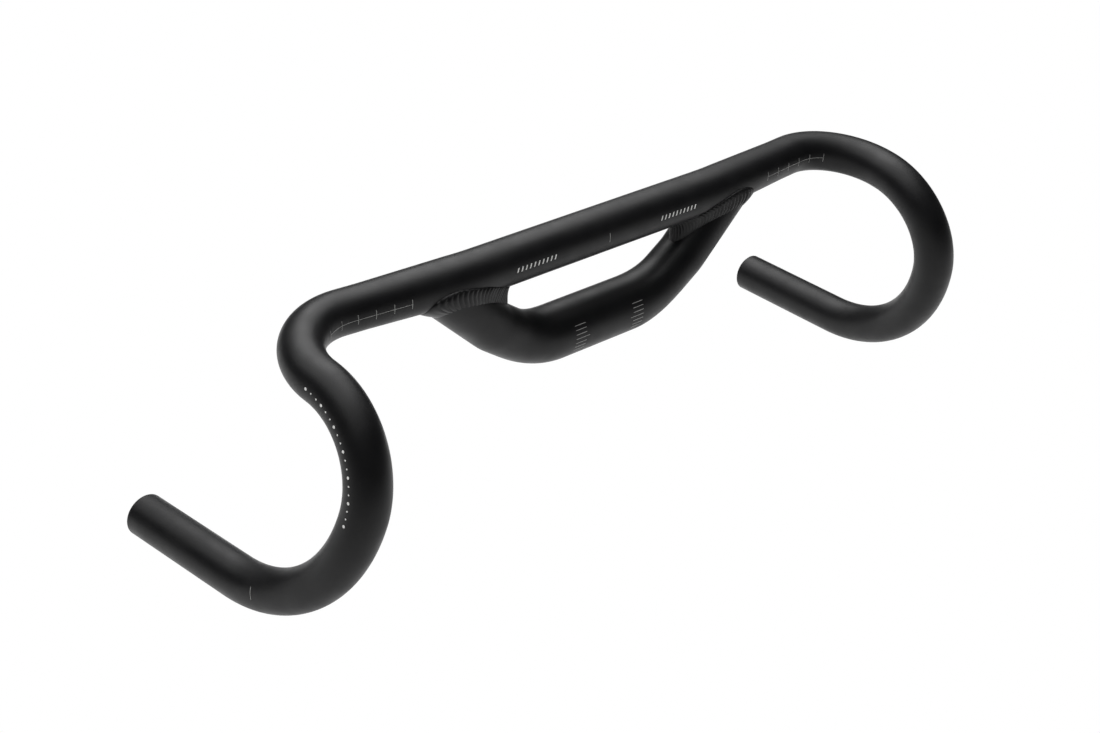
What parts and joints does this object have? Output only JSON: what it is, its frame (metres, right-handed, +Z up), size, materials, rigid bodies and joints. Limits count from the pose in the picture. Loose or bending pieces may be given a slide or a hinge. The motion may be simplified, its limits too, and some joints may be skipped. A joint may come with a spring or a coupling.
{
  "type": "drop handlebar",
  "caption": "Flared drop handlebar in black: a bent tube with a straight raised top and two hooks, and a lower clamp tube welded across its middle.",
  "frame": {"origin": "middle of the straight 31.8 mm section that the stem clamps, on its axis", "axes": "+X along the clamped section to the rider's left, -Y forward to the hooks, +Z up with the drop ends level"},
  "size_m": [0.507, 0.1729, 0.1535],
  "materials": {
    "black_anodised": "matte black anodised",
    "black_weld": "rippled weld under the same matte black"
  },
  "bodies": {
    "root": {"drop_bar_tube": "black_anodised", "clamp_tube": "black_anodised", "weld_bead_left": "black_weld", "weld_bead_right": "black_weld"}
  },
  "joints": []
}
